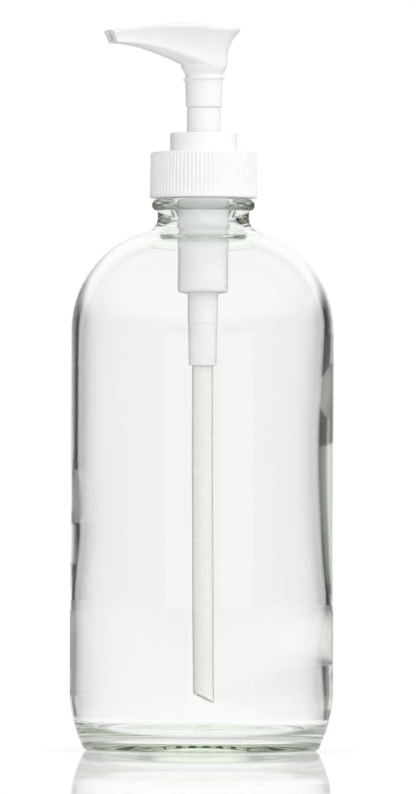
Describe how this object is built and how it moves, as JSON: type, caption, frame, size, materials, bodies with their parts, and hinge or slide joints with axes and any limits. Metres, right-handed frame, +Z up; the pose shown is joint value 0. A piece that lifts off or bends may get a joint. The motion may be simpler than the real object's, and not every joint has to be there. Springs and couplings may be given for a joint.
{
  "type": "soap pump dispenser",
  "caption": "Round clear glass bottle with rounded shoulders and a white screw-on lotion pump with a long spout, ribbed collar, locking neck ring and dip tube.",
  "frame": {"origin": "centre of the bottle's base, on the surface that it stands on", "axes": "+Z up along the bottle's axis, -X along the spout, +Y to the right of the spout when looking from the head towards its tip"},
  "size_m": [0.075, 0.075, 0.2077],
  "materials": {
    "clear_glass": "clear, glossy, faint green tint",
    "white_plastic": "satin white moulded polypropylene",
    "gasket_foam": "matt foamed polyethylene",
    "translucent_plastic": "milky translucent polypropylene",
    "natural_tube": "translucent natural polyethylene",
    "glass_ball": "polished",
    "spring_steel": "bright stainless wire",
    "soft_plastic": "waxy soft polyethylene"
  },
  "bodies": {
    "bottle": {"glass_bottle": "clear_glass"},
    "closure": {"screw_collar": "white_plastic"},
    "pump_body": {"pump_cylinder": "translucent_plastic", "lock_ring": "white_plastic", "sealing_gasket": "gasket_foam", "dip_tube": "natural_tube", "spring_seat": "white_plastic", "return_spring": "spring_steel"},
    "plunger": {"piston": "soft_plastic"},
    "head": {"pump_head": "white_plastic", "pump_stem": "white_plastic", "piston_rod": "white_plastic"},
    "inlet_valve": {"inlet_ball": "glass_ball"},
    "outlet_valve": {"outlet_ball": "glass_ball"}
  },
  "joints": [
    {"name": "pump_lift", "type": "slide", "parent": "bottle", "child": "pump_body", "axis": [0, 0, 1], "range_m": [0, 0.00529]},
    {"name": "closure_turn", "type": "hinge", "parent": "pump_body", "child": "closure", "pos_m": [0, 0, 0.164], "axis": [0, 0, 1], "range_deg": [0, 450]},
    {"name": "pump_stroke", "type": "slide", "parent": "pump_body", "child": "plunger", "axis": [0, 0, 1], "range_m": [-0.015, 0], "stiffness_N_per_m": 900, "springref_m": 0.008, "deforming": ["return_spring"]},
    {"name": "head_turn", "type": "hinge", "parent": "plunger", "child": "head", "pos_m": [0, 0, 0.158], "axis": [0, 0, 1], "continuous": true},
    {"name": "inlet_lift", "type": "slide", "parent": "pump_body", "child": "inlet_valve", "axis": [0, 0, 1], "range_m": [0, 0.001]},
    {"name": "outlet_lift", "type": "slide", "parent": "head", "child": "outlet_valve", "axis": [0, 0, 1], "range_m": [0, 0.0014]}
  ],
  "couplings": [
    {"joint": "closure_turn", "follows": "pump_lift", "rad_per_m": 1484.3}
  ]
}
